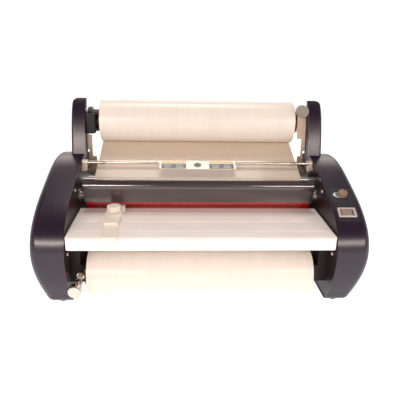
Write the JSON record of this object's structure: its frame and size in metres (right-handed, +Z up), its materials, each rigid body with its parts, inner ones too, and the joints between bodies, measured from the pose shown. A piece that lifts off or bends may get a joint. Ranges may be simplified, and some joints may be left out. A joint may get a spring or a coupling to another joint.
{
  "type": "roll laminator",
  "caption": "Desktop two-roll film laminator: feed tray with sliding guide, clear lifting heat shield, heated nip and pull rollers, and film supply rolls between two moulded side covers.",
  "frame": {"origin": "on the supporting surface below the middle of the machine's box", "axes": "+X across the machine to the operator's right, +Y from the operator to the rear, +Z up"},
  "size_m": [0.91, 0.54, 0.534],
  "materials": {
    "cover_plastic": "satin, fine moulded grain",
    "frame_paint": "black powder coat",
    "zinc_steel": "zinc plated",
    "steel": "ground",
    "chrome_rod": "polished",
    "tray_white": "white satin paint",
    "guide_plastic": "cream, slightly translucent",
    "film": "milky wound film",
    "film_web": "thin film",
    "core_board": "spiral wound",
    "black_plastic": "satin",
    "cast_zinc": "cast, light",
    "silicone_red": "smooth silicone",
    "rubber_black": "smooth",
    "aluminium": "extruded",
    "clear_shield": "clear, lightly smoked polycarbonate",
    "overlay": "dark slate film",
    "bezel_grey": "light grey",
    "rocker_grey": "warm grey",
    "knob_brown": "bronze brown",
    "knob_clear": "grey translucent",
    "knob_chrome": "plated",
    "board_green": "solder resist",
    "gear_nylon": "moulded nylon",
    "heater_glass": "quartz"
  },
  "bodies": {
    "root": {"base_plate": "frame_paint", "control_board": "board_green", "display_bezel": "bezel_grey", "drive_chain": "steel", "frame_screws": "zinc_steel", "gearmotor": "steel", "heater_rods": "heater_glass", "interlock_switch": "black_plastic", "left_latch_block": "black_plastic", "left_side_cover": "cover_plastic", "left_side_frame": "frame_paint", "left_supply_arm": "cast_zinc", "lower_film_web": "film_web", "lower_supply_brackets": "frame_paint", "panel_overlay": "overlay", "power_inlet": "black_plastic", "rear_panel": "frame_paint", "right_side_cover": "cover_plastic", "right_side_frame": "frame_paint", "right_supply_arm": "cast_zinc", "roller_bearings": "steel", "rubber_feet": "rubber_black", "shield_hinge_blocks": "zinc_steel", "slitter_track": "aluminium", "tie_rods": "zinc_steel", "tray_rails": "zinc_steel", "upper_film_web": "film_web"},
    "shield": {"heat_shield": "clear_shield", "shield_hinge_rod": "chrome_rod"},
    "tray": {"feed_tray": "tray_white"},
    "guide": {"paper_guide": "guide_plastic"},
    "guide_clamp": {"guide_knob": "guide_plastic"},
    "upper_supply": {"upper_film_roll": "film", "upper_core_tube": "core_board", "upper_chucks": "black_plastic"},
    "lower_supply": {"lower_film_roll": "film", "lower_core_tube": "core_board", "lower_chucks": "black_plastic"},
    "upper_tension": {"upper_tension_knob": "knob_clear"},
    "lower_tension": {"lower_tension_knob": "knob_chrome"},
    "lower_heat_roller": {"lower_heat_roller_sleeve": "silicone_red", "lower_heat_roller_tube": "steel", "lower_heat_gear": "gear_nylon"},
    "upper_heat_roller": {"upper_heat_roller_sleeve": "silicone_red", "upper_heat_roller_tube": "steel", "upper_heat_gear": "gear_nylon"},
    "lower_pull_roller": {"lower_pull_roller_sleeve": "rubber_black", "lower_pull_roller_shaft": "steel", "lower_pull_gear": "gear_nylon"},
    "upper_pull_roller": {"upper_pull_roller_sleeve": "rubber_black", "upper_pull_roller_shaft": "steel", "upper_pull_gear": "gear_nylon"},
    "motor_drive": {"motor_sprocket": "steel"},
    "upper_idler_roller": {"upper_idler": "steel"},
    "lower_idler_roller": {"lower_idler": "steel"},
    "speed_dial": {"speed_knob": "knob_brown"},
    "panel_switch": {"panel_rocker": "rocker_grey"},
    "power_switch": {"power_rocker": "rocker_grey"},
    "slitter": {"slitter_carriage": "black_plastic"}
  },
  "joints": [
    {"name": "shield_hinge", "type": "hinge", "parent": "root", "child": "shield", "pos_m": [0, 0.06, 0.351], "axis": [-1, 0, 0], "range_deg": [0, 95]},
    {"name": "tray_slide", "type": "slide", "parent": "root", "child": "tray", "axis": [0, -1, 0], "range_m": [0, 0.06]},
    {"name": "guide_slide", "type": "slide", "parent": "tray", "child": "guide", "axis": [1, 0, 0], "range_m": [-0.075, 0.56]},
    {"name": "guide_clamp_turn", "type": "hinge", "parent": "guide", "child": "guide_clamp", "pos_m": [-0.251, -0.085, 0.25], "axis": [0, 0, 1], "range_deg": [-180, 180]},
    {"name": "upper_supply_spin", "type": "hinge", "parent": "root", "child": "upper_supply", "pos_m": [0, 0.202, 0.4587], "axis": [1, 0, 0], "continuous": true},
    {"name": "lower_supply_spin", "type": "hinge", "parent": "root", "child": "lower_supply", "pos_m": [0, -0.1533, 0.0822], "axis": [1, 0, 0], "continuous": true},
    {"name": "upper_tension_turn", "type": "hinge", "parent": "root", "child": "upper_tension", "pos_m": [0.3373, 0.138, 0.5051], "axis": [0, -1, 0], "range_deg": [-180, 180]},
    {"name": "lower_tension_turn", "type": "hinge", "parent": "root", "child": "lower_tension", "pos_m": [-0.341, -0.258, 0.078], "axis": [0, -1, 0], "range_deg": [-180, 180]},
    {"name": "lower_heat_spin", "type": "hinge", "parent": "root", "child": "lower_heat_roller", "pos_m": [0, 0.002, 0.1975], "axis": [1, 0, 0], "continuous": true},
    {"name": "upper_heat_spin", "type": "hinge", "parent": "root", "child": "upper_heat_roller", "pos_m": [0, 0.002, 0.2625], "axis": [1, 0, 0], "continuous": true},
    {"name": "lower_pull_spin", "type": "hinge", "parent": "root", "child": "lower_pull_roller", "pos_m": [0, 0.135, 0.204], "axis": [1, 0, 0], "continuous": true},
    {"name": "upper_pull_spin", "type": "hinge", "parent": "root", "child": "upper_pull_roller", "pos_m": [0, 0.135, 0.256], "axis": [1, 0, 0], "continuous": true},
    {"name": "motor_spin", "type": "hinge", "parent": "root", "child": "motor_drive", "pos_m": [0.39, 0.15, 0.105], "axis": [1, 0, 0], "continuous": true},
    {"name": "upper_idler_spin", "type": "hinge", "parent": "root", "child": "upper_idler_roller", "pos_m": [0, 0.014, 0.312], "axis": [1, 0, 0], "continuous": true},
    {"name": "lower_idler_spin", "type": "hinge", "parent": "root", "child": "lower_idler_roller", "pos_m": [0, 0.014, 0.148], "axis": [1, 0, 0], "continuous": true},
    {"name": "speed_knob_turn", "type": "hinge", "parent": "root", "child": "speed_dial", "pos_m": [0.405, -0.126, 0.30734], "axis": [0, -0.3469, 0.9379], "range_deg": [-135, 135]},
    {"name": "panel_rocker_tilt", "type": "hinge", "parent": "root", "child": "panel_switch", "pos_m": [0.401, -0.18751, 0.27373], "axis": [1, 0, 0], "range_deg": [-7, 7]},
    {"name": "power_rocker_tilt", "type": "hinge", "parent": "root", "child": "power_switch", "pos_m": [0.3, 0.252, 0.102], "axis": [1, 0, 0], "range_deg": [-6, 6]},
    {"name": "slitter_slide", "type": "slide", "parent": "root", "child": "slitter", "axis": [1, 0, 0], "range_m": [-0.31, 0.31]}
  ],
  "couplings": [
    {"joint": "upper_heat_spin", "follows": "lower_heat_spin", "ratio": -1},
    {"joint": "lower_pull_spin", "follows": "lower_heat_spin", "ratio": 1.2632},
    {"joint": "upper_pull_spin", "follows": "lower_heat_spin", "ratio": -1.2632},
    {"joint": "motor_spin", "follows": "lower_heat_spin", "ratio": 2}
  ]
}
